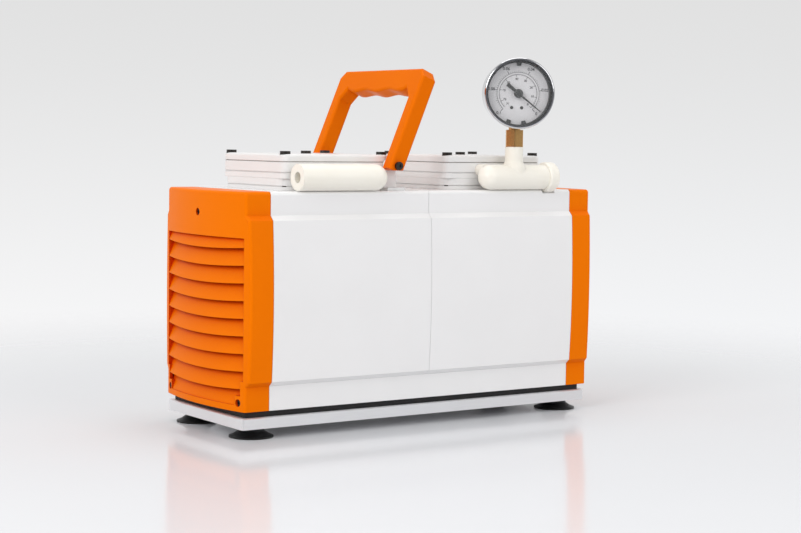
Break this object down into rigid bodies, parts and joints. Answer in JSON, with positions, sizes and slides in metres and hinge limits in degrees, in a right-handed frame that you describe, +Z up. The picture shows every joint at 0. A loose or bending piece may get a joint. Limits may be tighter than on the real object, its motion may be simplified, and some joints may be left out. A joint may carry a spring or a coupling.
{
  "type": "diaphragm vacuum pump",
  "caption": "Benchtop diaphragm vacuum pump: white casing, orange louvred end caps, pump heads on top, folding carry handle, dial gauge, aluminium base on suction feet.",
  "frame": {"origin": "floor level under the middle of the base plate", "axes": "+X to the inlet end (right of the front), +Y to the back, +Z up"},
  "size_m": [0.3636, 0.1687, 0.3096],
  "materials": {
    "plate_alu": "satin",
    "pad_black": "matte",
    "foot_rubber": "satin",
    "zinc_steel": "satin",
    "dark_steel": "satin",
    "case_white": "gloss",
    "cap_orange": "gloss",
    "cast_alu": "cast",
    "bearing_steel": "ground",
    "core_steel": "laminated",
    "copper_wire": "enamelled copper",
    "capacitor_grey": "matte",
    "cast_steel": "machined",
    "fan_black": "matte",
    "membrane_rubber": "matte",
    "head_white": "satin",
    "gasket_dark": "matte",
    "pipe_cream": "satin",
    "tube_white": "satin",
    "brass": "turned",
    "gauge_chrome": "polished",
    "gauge_glass": "clear",
    "dial_white": "matte",
    "pointer_black": "matte",
    "handle_orange": "gloss",
    "socket_black": "matte",
    "rocker_red": "gloss"
  },
  "bodies": {
    "frame": {"base_plate": "plate_alu", "base_pad": "pad_black", "rubber_feet": "foot_rubber", "foot_studs": "zinc_steel", "chassis_bolts": "zinc_steel", "chassis_tray": "case_white", "casing_left": "case_white", "casing_right": "case_white", "rear_panel": "case_white", "end_cap_left": "cap_orange", "end_cap_right": "cap_orange", "cap_screws": "dark_steel", "crankcases": "cast_alu", "main_bearings": "bearing_steel", "stator_core": "core_steel", "stator_windings": "copper_wire", "motor_end_bells": "cast_alu", "motor_screws": "zinc_steel", "run_capacitor": "capacitor_grey", "diaphragm_left": "membrane_rubber", "diaphragm_right": "membrane_rubber", "head_base_left": "head_white", "head_base_right": "head_white", "valve_plate_left": "head_white", "valve_plate_right": "head_white", "valve_discs": "membrane_rubber", "cover_gaskets": "gasket_dark", "head_cover_left": "head_white", "head_cover_right": "head_white", "head_screws": "dark_steel", "outlet_manifold": "pipe_cream", "inlet_manifold": "pipe_cream", "inlet_nut": "pipe_cream", "crossover_fittings": "pipe_cream", "crossover_tubes": "tube_white", "gauge_stem": "brass", "gauge_case": "gauge_chrome", "gauge_bezel": "gauge_chrome", "gauge_lens": "gauge_glass", "gauge_dial": "dial_white", "handle_pivots": "dark_steel", "handle_brackets": "head_white", "bracket_screws": "zinc_steel", "power_inlet": "socket_black", "inlet_pins": "brass", "rocker_switch": "socket_black"},
    "rotor": {"rotor_shaft": "bearing_steel", "rotor_core": "core_steel", "eccentric_left": "cast_steel", "eccentric_right": "cast_steel", "cooling_fans": "fan_black"},
    "rod_left": {"connecting_rod_left": "cast_alu", "rod_bearing_left": "bearing_steel", "diaphragm_clamp_left": "cast_alu"},
    "rod_right": {"connecting_rod_right": "cast_alu", "rod_bearing_right": "bearing_steel", "diaphragm_clamp_right": "cast_alu"},
    "handle": {"carry_handle": "handle_orange"},
    "pointer": {"gauge_pointer": "pointer_black"},
    "rocker": {"switch_rocker": "rocker_red"}
  },
  "joints": [
    {"name": "rotor_spin", "type": "hinge", "parent": "frame", "child": "rotor", "pos_m": [0, 0, 0.096], "axis": [1, 0, 0], "continuous": true},
    {"name": "rod_left_orbit", "type": "hinge", "parent": "rotor", "child": "rod_left", "pos_m": [-0.0802, 0, 0.0995], "axis": [1, 0, 0], "continuous": true, "deforming": ["diaphragm_left"]},
    {"name": "rod_right_orbit", "type": "hinge", "parent": "rotor", "child": "rod_right", "pos_m": [0.0802, 0, 0.0925], "axis": [1, 0, 0], "continuous": true, "deforming": ["diaphragm_right"]},
    {"name": "handle_swing", "type": "hinge", "parent": "frame", "child": "handle", "pos_m": [-0.0305, 0, 0.217], "axis": [0, 1, 0], "range_deg": [-81, 47]},
    {"name": "pointer_sweep", "type": "hinge", "parent": "frame", "child": "pointer", "pos_m": [0.09249, -0.06412, 0.2792], "axis": [-0.4848, -0.8746, 0], "range_deg": [0, 270], "stiffness_Nm_per_rad": 0.0001},
    {"name": "rocker_tilt", "type": "hinge", "parent": "frame", "child": "rocker", "pos_m": [0.045, 0.0704, 0.08], "axis": [1, 0, 0], "range_deg": [0, 20]}
  ],
  "couplings": [
    {"joint": "rod_left_orbit", "follows": "rotor_spin", "ratio": -1},
    {"joint": "rod_right_orbit", "follows": "rotor_spin", "ratio": -1}
  ]
}
